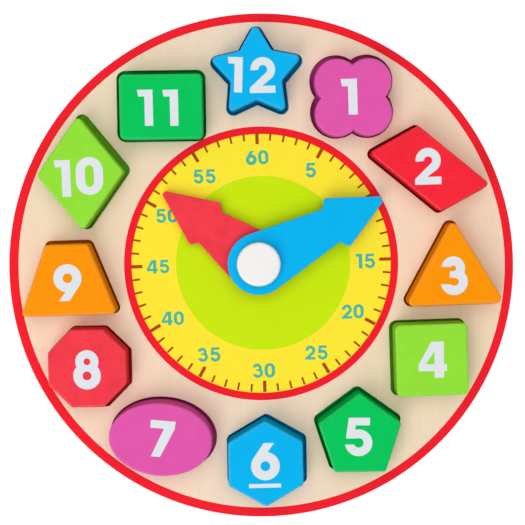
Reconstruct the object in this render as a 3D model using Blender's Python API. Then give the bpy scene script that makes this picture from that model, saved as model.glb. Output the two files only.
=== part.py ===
"""Shape sorting clock: a round wooden puzzle board with lift-out number blocks and turning hands.

The clock lies on its back. The origin is the centre of the backing board's underside, +Z points
out of the dial and +Y points at the 12. Lengths are in metres and angles in degrees.
"""

import math

import bmesh
import bpy
import numpy as np

# Board: a backing board glued behind a face board that the block shapes are cut through.
BOARD_RADIUS = 0.110
BACKING_THICKNESS = 0.003
FACE_THICKNESS = 0.006
BOARD_EDGE_ROUNDING = 0.0008
SEAT_GAP = 0.0003

# Blocks: their size is what the board has room for. Two neighbours' centres are as far apart as
# one block and one web, and half a block lies between the block ring and the wall at the rim.
BLOCK_COUNT = 12
BLOCK_THICKNESS = 0.018
BLOCK_EDGE_ROUNDING = 0.0009
BLOCK_CLEARANCE = 0.0010
BLOCK_WEB = 0.0055
RIM_WALL = 0.0070
PITCH_SHARE = 2.0 * math.sin(math.pi / BLOCK_COUNT)
BLOCK_ROOM = PITCH_SHARE * (BOARD_RADIUS - RIM_WALL) - BLOCK_WEB
BLOCK_SIZE = BLOCK_ROOM / (1.0 + PITCH_SHARE / 2.0)
BLOCK_RING_RADIUS = BOARD_RADIUS - RIM_WALL - BLOCK_SIZE / 2.0

# Outlines: each block's own form, as shares of the block size.
QUATREFOIL_LOBE_OFFSET_SHARE = 0.1764
QUATREFOIL_LOBE_RADIUS_SHARE = 0.2567
PARALLELOGRAM_LONG_SIDE_SHARE = 1.0478
PARALLELOGRAM_SHORT_SIDE_SHARE = 0.6345
PARALLELOGRAM_LONG_LEAN = -40.3
PARALLELOGRAM_SHORT_LEAN = 27.5
TRIANGLE_SIDE_SHARE = 1.1320
SQUARE_SIDE_SHARE = 0.8161
PENTAGON_RADIUS_SHARE = 0.4976
HEXAGON_RADIUS_SHARE = 0.4923
OVAL_WIDTH_SHARE = 1.1768
OVAL_HEIGHT_SHARE = 0.8319
OCTAGON_FLATS_SHARE = 0.8846
TRAPEZOID_TOP_SHARE = 0.4833
TRAPEZOID_BOTTOM_SHARE = 1.0925
TRAPEZOID_HEIGHT_SHARE = 0.8029
RHOMBUS_WIDTH_SHARE = 0.9820
RHOMBUS_HEIGHT_SHARE = 1.2952
RECTANGLE_WIDTH_SHARE = 0.9319
RECTANGLE_HEIGHT_SHARE = 0.7266
STAR_TIP_RADIUS_SHARE = 0.5528
STAR_NOTCH_RADIUS_SHARE = 0.3028

SOFT_CORNER = 0.0022
MEDIUM_CORNER = 0.0017
CRISP_CORNER = 0.0014

# Pivot: the dial's hole, drilled a little off the board's centre, and what its bolt holds.
PIVOT_X = -0.0010
PIVOT_Y = 0.0020
BOLT_RADIUS = 0.0020
BOLT_CLEARANCE = 0.0003
BOLT_HEAD_RADIUS = 0.0040
BOLT_HEAD_HEIGHT = 0.0020
BOLT_HEAD_RIM = 0.0003
BOLT_HEAD_RECESS = 0.0003
CROSS_SLOT_WIDTH = 0.0009
CROSS_SLOT_LENGTH = 0.0044
CROSS_SLOT_DEPTH = 0.0012
GLIDE_WASHER_RADIUS = 0.0080
DIAL_WASHER_THICKNESS = 0.0008
HAND_WASHER_THICKNESS = 0.0006
NUT_WASHER_RADIUS = 0.0045
NUT_WASHER_THICKNESS = 0.0005
NUT_FLATS = 0.0070
NUT_THICKNESS = 0.0022
BOLT_END_BEYOND_NUT = 0.0003

# Cap: a white plastic cover with a hexagonal socket that presses over the nut.
CAP_RADIUS = 0.0094
CAP_WALL = 0.0014
CAP_ROOF = 0.0014
CAP_SOCKET_WALL = 0.0012
CAP_EDGE_ROUNDING = 0.0012
CAP_CROWN = 0.0002

# Hands: flat arrows, each with a round hub on the bolt.
HAND_THICKNESS = 0.003
HAND_HUB_RADIUS = 0.0134
HAND_EDGE_ROUNDING = 0.0004
HAND_TIP_ROUNDING = 0.0009
HAND_BARB_ROUNDING = 0.0011
HAND_NOTCH_ROUNDING = 0.0006

MINUTE_TIP_GAP = 0.0053
HOUR_SHORTER_BY = 0.0085
MINUTE_LENGTH = BLOCK_RING_RADIUS - BLOCK_SIZE / 2.0 - MINUTE_TIP_GAP
HOUR_LENGTH = MINUTE_LENGTH - HOUR_SHORTER_BY

HOUR_BARB_FROM_PIVOT = 0.0288
HOUR_BARB_HALF_WIDTH = 0.0113
HOUR_NOTCH_FROM_PIVOT = 0.0262
HOUR_NOTCH_HALF_WIDTH = 0.0083
HOUR_TIP_HALF_WIDTH = 0.0010
HOUR_TURN = 142.0

MINUTE_BARB_FROM_PIVOT = 0.0382
MINUTE_BARB_HALF_WIDTH = 0.0118
MINUTE_NOTCH_FROM_PIVOT = 0.0351
MINUTE_NOTCH_HALF_WIDTH = 0.0080
MINUTE_TIP_HALF_WIDTH = 0.0013
MINUTE_TURN = 26.5

# Mesh fineness.
ARC_STEP = 22.5
ROUND_STEPS = 40
OVAL_STEPS = 40
BOARD_STEPS = 96
CAP_ROUNDING_STEPS = 4
SHARP_EDGE_ANGLE = 32.0
MERGE_DISTANCE = 0.0000001
CUTTER_OVERRUN = 0.002

# Heights of the stack, from the underside up.
FACE_BOTTOM = BACKING_THICKNESS + SEAT_GAP
FACE_TOP = FACE_BOTTOM + FACE_THICKNESS
BLOCK_BOTTOM = BACKING_THICKNESS + SEAT_GAP
DIAL_WASHER_BOTTOM = FACE_TOP + SEAT_GAP
HOUR_BOTTOM = DIAL_WASHER_BOTTOM + DIAL_WASHER_THICKNESS + SEAT_GAP
HAND_WASHER_BOTTOM = HOUR_BOTTOM + HAND_THICKNESS + SEAT_GAP
MINUTE_BOTTOM = HAND_WASHER_BOTTOM + HAND_WASHER_THICKNESS + SEAT_GAP
MINUTE_TOP = MINUTE_BOTTOM + HAND_THICKNESS
NUT_WASHER_BOTTOM = MINUTE_TOP + SEAT_GAP
NUT_BOTTOM = NUT_WASHER_BOTTOM + NUT_WASHER_THICKNESS + SEAT_GAP
NUT_TOP = NUT_BOTTOM + NUT_THICKNESS
BOLT_TOP = NUT_TOP + BOLT_END_BEYOND_NUT
CAP_BOTTOM = MINUTE_TOP + SEAT_GAP
CAP_SOCKET_TOP = BOLT_TOP + SEAT_GAP
CAP_TOP = CAP_SOCKET_TOP + CAP_ROOF
BORE_RADIUS = BOLT_RADIUS + BOLT_CLEARANCE
PIVOT_PLACE = (PIVOT_X, PIVOT_Y, 0.0)

COLOURS = {
    "bare_wood": (232, 213, 188),
    "pink": (223, 86, 170),
    "red": (249, 48, 62),
    "orange": (253, 148, 4),
    "light_green": (146, 223, 52),
    "green": (4, 195, 90),
    "blue": (6, 178, 238),
    "white": (246, 244, 243),
    "nylon": (226, 224, 216),
    "steel": (170, 170, 172),
}


def clear_scene():
    """Remove whatever the file opened with."""
    for scene_object in list(bpy.data.objects):
        bpy.data.objects.remove(scene_object, do_unlink=True)


def linear_colour(name):
    """Colour of that name as linear light, from its 8-bit screen value."""
    screen = np.array(COLOURS[name]) / 255.0
    light = np.where(screen <= 0.04045, screen / 12.92, ((screen + 0.055) / 1.055) ** 2.4)
    return (*light.tolist(), 1.0)


def make_material(name, colour, roughness, metallic=0.0):
    """Principled material in one of the named colours."""
    material = bpy.data.materials.new(name)
    material.use_nodes = True
    shader = material.node_tree.nodes["Principled BSDF"]
    shader.inputs["Base Color"].default_value = linear_colour(colour)
    shader.inputs["Roughness"].default_value = roughness
    shader.inputs["Metallic"].default_value = metallic
    material.diffuse_color = linear_colour(colour)
    return material


def polar(radius, degrees):
    """Point at that distance and direction from the centre."""
    return radius * np.array([math.cos(math.radians(degrees)), math.sin(math.radians(degrees))])


def unit(vector):
    return vector / np.linalg.norm(vector)


def rounded_outline(corners, roundings, grow=0.0):
    """Outline of a straight-sided shape moved out by grow, with an arc at each rounded corner.

    The corners run counter-clockwise. An outer corner's arc grows with the shape and an inner
    corner's shrinks about the same centre, so the outline keeps an even distance all round.
    """
    corners = np.asarray(corners)
    roundings = np.broadcast_to(roundings, len(corners))
    outline = []
    for index, (corner, rounding) in enumerate(zip(corners, roundings)):
        arriving = unit(corner - corners[index - 1])
        leaving = unit(corners[(index + 1) % len(corners)] - corner)
        bend = math.atan2(arriving[0] * leaving[1] - arriving[1] * leaving[0], arriving @ leaving)
        side = math.copysign(1.0, bend)
        first_normal = np.array([arriving[1], -arriving[0]])
        last_normal = np.array([leaving[1], -leaving[0]])
        mitre = (first_normal + last_normal) / (1.0 + first_normal @ last_normal)
        centre = corner - side * rounding * mitre
        radius = rounding + side * grow
        if rounding == 0.0:
            outline.append(corner + grow * mitre)
            continue
        steps = max(1, math.ceil(abs(math.degrees(bend)) / ARC_STEP))
        start = math.degrees(math.atan2(first_normal[1], first_normal[0]))
        for angle in np.linspace(start, start + math.degrees(bend), steps + 1):
            outline.append(centre + side * polar(radius, angle))
    return np.array(outline)


def regular_corners(count, radius, first_angle):
    """Corners of a regular polygon."""
    return [polar(radius, first_angle + index * 360.0 / count) for index in range(count)]


def quatrefoil(grow):
    """Four round lobes on the diagonals that meet in a notch on each side."""
    offset = QUATREFOIL_LOBE_OFFSET_SHARE * BLOCK_SIZE
    radius = QUATREFOIL_LOBE_RADIUS_SHARE * BLOCK_SIZE + grow
    reach = math.degrees(math.asin(offset / radius))
    steps = math.ceil((90.0 + 2.0 * reach) / ARC_STEP)
    outline = []
    for quarter in range(4):
        centre = polar(math.sqrt(2.0) * offset, 45.0 + 90.0 * quarter)
        angles = np.linspace(90.0 * quarter - reach, 90.0 * (quarter + 1) + reach, steps + 1)
        outline.extend(centre + polar(radius, angle) for angle in angles[:-1])
    return np.array(outline)


def parallelogram(grow):
    """Two long sides that fall to the right and two short sides that rise to the right."""
    long_side = PARALLELOGRAM_LONG_SIDE_SHARE * BLOCK_SIZE
    short_side = PARALLELOGRAM_SHORT_SIDE_SHARE * BLOCK_SIZE
    long_half = polar(long_side / 2.0, PARALLELOGRAM_LONG_LEAN)
    short_half = polar(short_side / 2.0, PARALLELOGRAM_SHORT_LEAN)
    corners = [
        -long_half - short_half,
        long_half - short_half,
        long_half + short_half,
        -long_half + short_half,
    ]
    return rounded_outline(corners, MEDIUM_CORNER, grow)


def triangle(grow):
    """Equilateral triangle with its point up."""
    side = TRIANGLE_SIDE_SHARE * BLOCK_SIZE
    corners = regular_corners(3, side / math.sqrt(3.0), 90.0)
    return rounded_outline(corners, SOFT_CORNER, grow)


def square(grow):
    side = SQUARE_SIDE_SHARE * BLOCK_SIZE
    corners = regular_corners(4, side / math.sqrt(2.0), 45.0)
    return rounded_outline(corners, SOFT_CORNER, grow)


def pentagon(grow):
    radius = PENTAGON_RADIUS_SHARE * BLOCK_SIZE
    return rounded_outline(regular_corners(5, radius, 90.0), CRISP_CORNER, grow)


def hexagon(grow):
    radius = HEXAGON_RADIUS_SHARE * BLOCK_SIZE
    return rounded_outline(regular_corners(6, radius, 90.0), CRISP_CORNER, grow)


def oval(grow):
    """Ellipse, wider than it is high."""
    angles = np.arange(OVAL_STEPS) * 2.0 * math.pi / OVAL_STEPS
    across = (OVAL_WIDTH_SHARE * BLOCK_SIZE / 2.0 + grow) * np.cos(angles)
    up = (OVAL_HEIGHT_SHARE * BLOCK_SIZE / 2.0 + grow) * np.sin(angles)
    return np.column_stack([across, up])


def octagon(grow):
    """Regular octagon that stands on one of its flats."""
    radius = OCTAGON_FLATS_SHARE * BLOCK_SIZE / 2.0 / math.cos(math.radians(22.5))
    return rounded_outline(regular_corners(8, radius, 22.5), CRISP_CORNER, grow)


def trapezoid(grow):
    bottom_half = TRAPEZOID_BOTTOM_SHARE * BLOCK_SIZE / 2.0
    top_half = TRAPEZOID_TOP_SHARE * BLOCK_SIZE / 2.0
    height_half = TRAPEZOID_HEIGHT_SHARE * BLOCK_SIZE / 2.0
    corners = [
        (-bottom_half, -height_half),
        (bottom_half, -height_half),
        (top_half, height_half),
        (-top_half, height_half),
    ]
    return rounded_outline(corners, MEDIUM_CORNER, grow)


def rhombus(grow):
    """Rhombus that stands on a point."""
    width_half = RHOMBUS_WIDTH_SHARE * BLOCK_SIZE / 2.0
    height_half = RHOMBUS_HEIGHT_SHARE * BLOCK_SIZE / 2.0
    corners = [
        (width_half, 0.0),
        (0.0, height_half),
        (-width_half, 0.0),
        (0.0, -height_half),
    ]
    return rounded_outline(corners, MEDIUM_CORNER, grow)


def rectangle(grow):
    width_half = RECTANGLE_WIDTH_SHARE * BLOCK_SIZE / 2.0
    height_half = RECTANGLE_HEIGHT_SHARE * BLOCK_SIZE / 2.0
    corners = [
        (-width_half, -height_half),
        (width_half, -height_half),
        (width_half, height_half),
        (-width_half, height_half),
    ]
    return rounded_outline(corners, SOFT_CORNER, grow)


def star(grow):
    """Five-pointed star with its point up and blunt tips."""
    tip_radius = STAR_TIP_RADIUS_SHARE * BLOCK_SIZE
    notch_radius = STAR_NOTCH_RADIUS_SHARE * BLOCK_SIZE
    corners = []
    for index in range(5):
        corners.append(polar(tip_radius, 90.0 + 72.0 * index))
        corners.append(polar(notch_radius, 126.0 + 72.0 * index))
    return rounded_outline(corners, MEDIUM_CORNER, grow)


# Each block: name, outline, colour, share of the block ring's radius that its centre lies at,
# its direction from the board's centre and its own turn, both counter-clockwise, and then for its
# cut-out, as shares of the clearance, the room all round it and how far the cut-out's centre lies
# to the block's right and above it.
BLOCKS_RING_SHARES = [
    ("block_1_quatrefoil", quatrefoil, "pink", 0.987, 60.4, 0.0, 1.5, (-0.15, 1.1)),
    ("block_2_parallelogram", parallelogram, "red", 0.997, 29.4, 0.0, 1.0, (-0.1, 0.0)),
    ("block_3_triangle", triangle, "orange", 0.985, -3.5, 0.7, 1.0, (0.1, 0.0)),
    ("block_4_square", square, "light_green", 0.990, -29.5, 0.6, 1.0, (-0.5, 0.0)),
    ("block_5_pentagon", pentagon, "green", 1.000, -61.0, -0.7, 1.25, (-0.3, 0.4)),
    ("block_6_hexagon", hexagon, "blue", 1.003, -90.1, -0.3, 1.2, (0.6, 0.1)),
    ("block_7_oval", oval, "pink", 1.018, -121.9, -6.0, 1.0, (0.6, 0.1)),
    ("block_8_octagon", octagon, "red", 1.026, -151.6, -0.4, 1.0, (0.35, -0.5)),
    ("block_9_trapezoid", trapezoid, "orange", 0.989, -178.1, 0.5, 1.0, (-0.15, 0.35)),
    ("block_10_rhombus", rhombus, "light_green", 1.039, 150.8, 1.1, 1.4, (0.5, 0.9)),
    ("block_11_rectangle", rectangle, "green", 0.9666, 120.3, -0.6, 1.55, (-0.6, 1.04)),
    ("block_12_star", star, "blue", 0.996, 90.1, 0.0, 1.45, (0.2, 0.0)),
]


def add_object(name, mesh_builder, material=None, place=(0.0, 0.0, 0.0), turn=0.0):
    """Turn a bmesh into an object with its own mesh, smooth except across sharp edges."""
    bmesh.ops.recalc_face_normals(mesh_builder, faces=mesh_builder.faces)
    mesh = bpy.data.meshes.new(name)
    mesh_builder.to_mesh(mesh)
    mesh_builder.free()
    mesh.shade_smooth()
    mesh.set_sharp_from_angle(angle=math.radians(SHARP_EDGE_ANGLE))
    new_object = bpy.data.objects.new(name, mesh)
    bpy.context.collection.objects.link(new_object)
    new_object.location = place
    new_object.rotation_euler = (0.0, 0.0, math.radians(turn))
    if material:
        mesh.materials.append(material)
    return new_object


def prism(outline, bottom, top, rounding=0.0, round_bottom=True, round_top=True, segments=2):
    """Upright solid on an outline, with its rims rounded."""
    solid = bmesh.new()
    floor = solid.faces.new([solid.verts.new((x, y, bottom)) for x, y in outline])
    raised = bmesh.ops.extrude_face_region(solid, geom=[floor])
    lid_vertices = [item for item in raised["geom"] if isinstance(item, bmesh.types.BMVert)]
    bmesh.ops.translate(solid, verts=lid_vertices, vec=(0.0, 0.0, top - bottom))
    lid = set(lid_vertices)
    rims = []
    for edge in solid.edges:
        ends_in_lid = sum(vertex in lid for vertex in edge.verts)
        if ends_in_lid == 2 and round_top or ends_in_lid == 0 and round_bottom:
            rims.append(edge)
    if rounding:
        bmesh.ops.bevel(
            solid, geom=rims, offset=rounding, segments=segments, profile=0.5,
            affect="EDGES", clamp_overlap=False,
        )
    return solid


def turned(profile, ring=False):
    """Solid of revolution about Z from a profile of (radius, height) points.

    A ring's profile closes on itself. Any other profile starts and ends on the axis.
    """
    solid = bmesh.new()
    vertices = [solid.verts.new((radius, 0.0, height)) for radius, height in profile]
    edges = [solid.edges.new(pair) for pair in zip(vertices, vertices[1:])]
    if ring:
        edges.append(solid.edges.new((vertices[-1], vertices[0])))
    bmesh.ops.spin(
        solid, geom=vertices + edges, cent=(0.0, 0.0, 0.0), axis=(0.0, 0.0, 1.0),
        angle=2.0 * math.pi, steps=ROUND_STEPS, use_merge=True,
    )
    bmesh.ops.remove_doubles(solid, verts=solid.verts, dist=MERGE_DISTANCE)
    return solid


def circle(radius, steps=ROUND_STEPS):
    return [polar(radius, index * 360.0 / steps) for index in range(steps)]


def washer(outer_radius, bottom, thickness):
    """Flat ring that fits over the bolt."""
    top = bottom + thickness
    profile = [
        (BORE_RADIUS, bottom),
        (outer_radius, bottom),
        (outer_radius, top),
        (BORE_RADIUS, top),
    ]
    return turned(profile, ring=True)


def add_cutter(name, mesh_builder, place=(0.0, 0.0, 0.0), turn=0.0):
    """Solid that only shapes others, so it isn't part of the clock."""
    cutter = add_object(name, mesh_builder, place=place, turn=turn)
    cutter.hide_render = True
    cutter.display_type = "WIRE"
    return cutter


def cut_away(target, cutter):
    """Take the cutter's shape out of the target."""
    modifier = target.modifiers.new(cutter.name, "BOOLEAN")
    modifier.operation = "DIFFERENCE"
    modifier.solver = "EXACT"
    modifier.object = cutter


def block_place(ring_share, direction, height, shift_shares=(0.0, 0.0)):
    """Centre of a block, or of its cut-out with the cut-out's shift, at that height."""
    x, y = polar(ring_share * BLOCK_RING_RADIUS, direction)
    right, up = shift_shares
    return (x + right * BLOCK_CLEARANCE, y + up * BLOCK_CLEARANCE, height)


def make_boards(material):
    """Backing board with a countersunk hole, and face board with a cut-out for every block."""
    disc = circle(BOARD_RADIUS, BOARD_STEPS)
    backing_solid = prism(disc, 0.0, BACKING_THICKNESS, BOARD_EDGE_ROUNDING, round_top=False)
    face_solid = prism(disc, FACE_BOTTOM, FACE_TOP, BOARD_EDGE_ROUNDING, round_bottom=False)
    backing = add_object("backing_board", backing_solid, material)
    face = add_object("face_board", face_solid, material)
    for name, outline, _, ring_share, direction, turn, room, shift_shares in BLOCKS_RING_SHARES:
        wall = outline(room * BLOCK_CLEARANCE)
        cutter = add_cutter(
            "cut_out_for_" + name,
            prism(wall, -CUTTER_OVERRUN, FACE_THICKNESS + CUTTER_OVERRUN),
            block_place(ring_share, direction, FACE_BOTTOM, shift_shares),
            turn,
        )
        cut_away(face, cutter)
    pivot_hole = add_cutter(
        "pivot_hole",
        prism(circle(BORE_RADIUS), -CUTTER_OVERRUN, FACE_TOP + CUTTER_OVERRUN),
        PIVOT_PLACE,
    )
    mouth_radius = BOLT_HEAD_RADIUS + BOLT_CLEARANCE
    cone_start = BOLT_HEAD_RECESS + BOLT_HEAD_RIM + BOLT_CLEARANCE
    cone_end = BOLT_HEAD_RECESS + BOLT_HEAD_HEIGHT + BOLT_CLEARANCE
    countersink = add_cutter(
        "countersink",
        turned([
            (0.0, -CUTTER_OVERRUN),
            (mouth_radius, -CUTTER_OVERRUN),
            (mouth_radius, cone_start),
            (BORE_RADIUS, cone_end),
            (0.0, cone_end),
        ]),
        PIVOT_PLACE,
    )
    cut_away(backing, pivot_hole)
    cut_away(backing, countersink)
    cut_away(face, pivot_hole)


def make_blocks():
    """The number blocks, each standing in its cut-out on the backing board."""
    for name, outline, colour, ring_share, direction, turn, _, _ in BLOCKS_RING_SHARES:
        add_object(
            name,
            prism(outline(0.0), 0.0, BLOCK_THICKNESS, BLOCK_EDGE_ROUNDING),
            make_material(name + "_paint", colour, roughness=0.5),
            block_place(ring_share, direction, BLOCK_BOTTOM),
            turn,
        )


def hand_outline(tip, barb, notch):
    """Arrow along +X whose shaft widens until it runs tangent into the round hub.

    Tip, barb and notch are the upper corners, each as its distance from the pivot and its
    distance from the arrow's middle line.
    """
    notch_direction = math.degrees(math.atan2(notch[1], notch[0]))
    tangent = notch_direction + math.degrees(math.acos(HAND_HUB_RADIUS / math.hypot(*notch)))
    hub_steps = math.ceil((360.0 - 2.0 * tangent) / (360.0 / ROUND_STEPS))
    hub_angles = np.linspace(tangent, 360.0 - tangent, hub_steps + 1)
    hub = [polar(HAND_HUB_RADIUS, angle) for angle in hub_angles]
    upper = [tip, barb, notch]
    lower = [(x, -y) for x, y in reversed(upper)]
    roundings = [HAND_TIP_ROUNDING, HAND_BARB_ROUNDING, HAND_NOTCH_ROUNDING]
    all_roundings = roundings + [0.0] * len(hub) + roundings[::-1]
    return rounded_outline(upper + hub + lower, all_roundings)


def make_hands():
    """The lower red hour hand and the upper blue minute hand."""
    hand_bore = add_cutter(
        "hand_bore",
        prism(circle(BORE_RADIUS), FACE_TOP, MINUTE_TOP + CUTTER_OVERRUN),
        PIVOT_PLACE,
    )
    hour_shape = hand_outline(
        (HOUR_LENGTH, HOUR_TIP_HALF_WIDTH),
        (HOUR_BARB_FROM_PIVOT, HOUR_BARB_HALF_WIDTH),
        (HOUR_NOTCH_FROM_PIVOT, HOUR_NOTCH_HALF_WIDTH),
    )
    minute_shape = hand_outline(
        (MINUTE_LENGTH, MINUTE_TIP_HALF_WIDTH),
        (MINUTE_BARB_FROM_PIVOT, MINUTE_BARB_HALF_WIDTH),
        (MINUTE_NOTCH_FROM_PIVOT, MINUTE_NOTCH_HALF_WIDTH),
    )
    hands = [
        ("hour_hand", hour_shape, HOUR_BOTTOM, HOUR_TURN, "red"),
        ("minute_hand", minute_shape, MINUTE_BOTTOM, MINUTE_TURN, "blue"),
    ]
    for name, outline, bottom, turn, colour in hands:
        hand = add_object(
            name,
            prism(outline, 0.0, HAND_THICKNESS, HAND_EDGE_ROUNDING),
            make_material(name + "_paint", colour, roughness=0.45),
            (PIVOT_X, PIVOT_Y, bottom),
            turn,
        )
        cut_away(hand, hand_bore)


def make_washers():
    """Two plastic washers that the hands glide on, and a steel one under the nut."""
    nylon = make_material("nylon", "nylon", roughness=0.4)
    steel = make_material("washer_steel", "steel", roughness=0.3, metallic=1.0)
    washers = [
        ("dial_washer", GLIDE_WASHER_RADIUS, DIAL_WASHER_BOTTOM, DIAL_WASHER_THICKNESS, nylon),
        ("hand_washer", GLIDE_WASHER_RADIUS, HAND_WASHER_BOTTOM, HAND_WASHER_THICKNESS, nylon),
        ("nut_washer", NUT_WASHER_RADIUS, NUT_WASHER_BOTTOM, NUT_WASHER_THICKNESS, steel),
    ]
    for name, radius, bottom, thickness, material in washers:
        add_object(name, washer(radius, bottom, thickness), material, PIVOT_PLACE)


def make_bolt_and_nut():
    """Countersunk bolt from the back, and the thin nut that holds the stack on it."""
    steel = make_material("bolt_steel", "steel", roughness=0.3, metallic=1.0)
    head_bottom = BOLT_HEAD_RECESS
    bolt = add_object(
        "pivot_bolt",
        turned([
            (0.0, BOLT_TOP),
            (BOLT_RADIUS, BOLT_TOP),
            (BOLT_RADIUS, head_bottom + BOLT_HEAD_HEIGHT),
            (BOLT_HEAD_RADIUS, head_bottom + BOLT_HEAD_RIM),
            (BOLT_HEAD_RADIUS, head_bottom),
            (0.0, head_bottom),
        ]),
        steel,
        PIVOT_PLACE,
    )
    slot_half = (CROSS_SLOT_LENGTH / 2.0, CROSS_SLOT_WIDTH / 2.0)
    slot = [
        (-slot_half[0], -slot_half[1]),
        (slot_half[0], -slot_half[1]),
        (slot_half[0], slot_half[1]),
        (-slot_half[0], slot_half[1]),
    ]
    for name, turn in (("first_cross_slot", 0.0), ("second_cross_slot", 90.0)):
        slot_solid = prism(slot, head_bottom - CUTTER_OVERRUN, head_bottom + CROSS_SLOT_DEPTH)
        cut_away(bolt, add_cutter(name, slot_solid, PIVOT_PLACE, turn))
    nut_corners = regular_corners(6, NUT_FLATS / math.sqrt(3.0), 0.0)
    nut = add_object(
        "lock_nut",
        prism(nut_corners, NUT_BOTTOM, NUT_TOP),
        steel,
        PIVOT_PLACE,
    )
    nut_bore = add_cutter(
        "nut_bore",
        prism(circle(BORE_RADIUS), NUT_BOTTOM - SEAT_GAP / 2.0, NUT_TOP + SEAT_GAP / 2.0),
        PIVOT_PLACE,
    )
    cut_away(nut, nut_bore)


def make_cap():
    """Hollow cap: an outer skirt, and inside it a boss with the socket for the nut."""
    socket_radius = NUT_FLATS / math.sqrt(3.0) + SEAT_GAP * 2.0 / math.sqrt(3.0)
    boss_radius = socket_radius + CAP_SOCKET_WALL
    rounding_angles = np.linspace(90.0, 0.0, CAP_ROUNDING_STEPS + 1)
    rounding_centre = (CAP_RADIUS - CAP_EDGE_ROUNDING, CAP_TOP - CAP_CROWN - CAP_EDGE_ROUNDING)
    rounding = [rounding_centre + polar(CAP_EDGE_ROUNDING, angle) for angle in rounding_angles]
    shoulder = [tuple(point) for point in rounding]
    profile = [
        (0.0, CAP_TOP),
        *shoulder,
        (CAP_RADIUS, CAP_BOTTOM),
        (CAP_RADIUS - CAP_WALL, CAP_BOTTOM),
        (CAP_RADIUS - CAP_WALL, CAP_SOCKET_TOP),
        (boss_radius, CAP_SOCKET_TOP),
        (boss_radius, NUT_BOTTOM),
        (0.0, NUT_BOTTOM),
    ]
    cap = add_object(
        "centre_cap",
        turned(profile),
        make_material("cap_plastic", "white", roughness=0.35),
        PIVOT_PLACE,
    )
    socket = add_cutter(
        "nut_socket",
        prism(regular_corners(6, socket_radius, 0.0), CAP_BOTTOM, CAP_SOCKET_TOP),
        PIVOT_PLACE,
    )
    cut_away(cap, socket)


clear_scene()
make_boards(make_material("bare_wood", "bare_wood", roughness=0.6))
make_blocks()
make_hands()
make_washers()
make_bolt_and_nut()
make_cap()
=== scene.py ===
"""Shape sorting clock, dressed as it is photographed: on its back on a white floor, from above.

Lengths are in metres and angles in degrees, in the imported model's frame: +Z points out of the
dial and +Y at the 12.
"""

import bmesh
import bpy
import numpy as np
from mathutils import Matrix, Vector, geometry


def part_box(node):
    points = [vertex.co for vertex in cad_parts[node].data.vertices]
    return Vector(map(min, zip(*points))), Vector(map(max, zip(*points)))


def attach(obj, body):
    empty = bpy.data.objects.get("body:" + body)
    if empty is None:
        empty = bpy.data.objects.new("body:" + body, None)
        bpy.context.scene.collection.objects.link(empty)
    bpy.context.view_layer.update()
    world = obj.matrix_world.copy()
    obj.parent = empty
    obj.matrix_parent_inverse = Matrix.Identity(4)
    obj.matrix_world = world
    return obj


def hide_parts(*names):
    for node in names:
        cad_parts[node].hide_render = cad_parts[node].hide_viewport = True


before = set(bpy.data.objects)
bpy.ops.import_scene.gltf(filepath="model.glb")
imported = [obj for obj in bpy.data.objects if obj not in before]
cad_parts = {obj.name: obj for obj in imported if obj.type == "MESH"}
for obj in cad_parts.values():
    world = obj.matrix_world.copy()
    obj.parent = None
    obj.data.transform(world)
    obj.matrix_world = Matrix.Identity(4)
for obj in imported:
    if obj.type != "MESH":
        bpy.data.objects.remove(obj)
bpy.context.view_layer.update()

# Block outlines. Each block is sawn from solid wood along an outline of its own. The router
# follows the same outlines, a clearance wider, when it cuts the blocks' places in the board.

CORNER_STEPS = 8
LOBE_STEPS = 36
ROUND_STEPS = 96
SOFT_CORNER = 0.0022
MEDIUM_CORNER = 0.0017
CRISP_CORNER = 0.0014
BLOCK_RING_RADIUS = 0.084007
BLOCK_CLEARANCE = 0.0010


def on_circle(radius, degrees):
    """Points on a circle about the origin, at those directions counter-clockwise from +X."""
    angles = np.radians(degrees)
    return radius * np.stack([np.cos(angles), np.sin(angles)], axis=-1)


def circle(radius, centre=(0.0, 0.0), steps=ROUND_STEPS):
    """Round outline, counter-clockwise."""
    return np.array(centre) + on_circle(radius, np.arange(steps) * 360.0 / steps)


def rounded(corners, rounding, grow=0.0, steps=CORNER_STEPS):
    """Counter-clockwise outline of a straight-sided shape moved out by grow, corners rounded.

    A corner's arc has its centre one rounding in from both sides. It starts square to the side
    that arrives and ends square to the side that leaves. An outer arc grows, an inner one shrinks.
    """
    corners = np.array(corners, float)
    rounding = np.broadcast_to(rounding, len(corners))
    leaving = np.roll(corners, -1, axis=0) - corners
    leaving /= np.linalg.norm(leaving, axis=1, keepdims=True)
    arriving = np.roll(leaving, 1, axis=0)
    cross = arriving[:, 0] * leaving[:, 1] - arriving[:, 1] * leaving[:, 0]
    bend = np.arctan2(cross, (arriving * leaving).sum(axis=1))
    side = np.sign(bend)
    first_normal = np.column_stack([arriving[:, 1], -arriving[:, 0]])
    last_normal = np.column_stack([leaving[:, 1], -leaving[:, 0]])
    mitre = first_normal + last_normal
    mitre /= 1.0 + (first_normal * last_normal).sum(axis=1, keepdims=True)
    centre = corners - (side * rounding)[:, None] * mitre
    start = np.arctan2(first_normal[:, 1], first_normal[:, 0])
    angles = start[:, None] + bend[:, None] * np.linspace(0.0, 1.0, steps + 1)
    reach = (side * (rounding + side * grow))[:, None, None]
    return (centre[:, None] + reach * on_circle(1.0, np.degrees(angles))).reshape(-1, 2)


def regular(count, radius, first_direction):
    """Corners of a regular polygon."""
    return on_circle(radius, first_direction + np.arange(count) * 360.0 / count)


def box_corners(width, height):
    """Corners of an upright rectangle centred on the origin, from the lower left."""
    return np.array([(-1, -1), (1, -1), (1, 1), (-1, 1)]) * (width / 2.0, height / 2.0)


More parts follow.
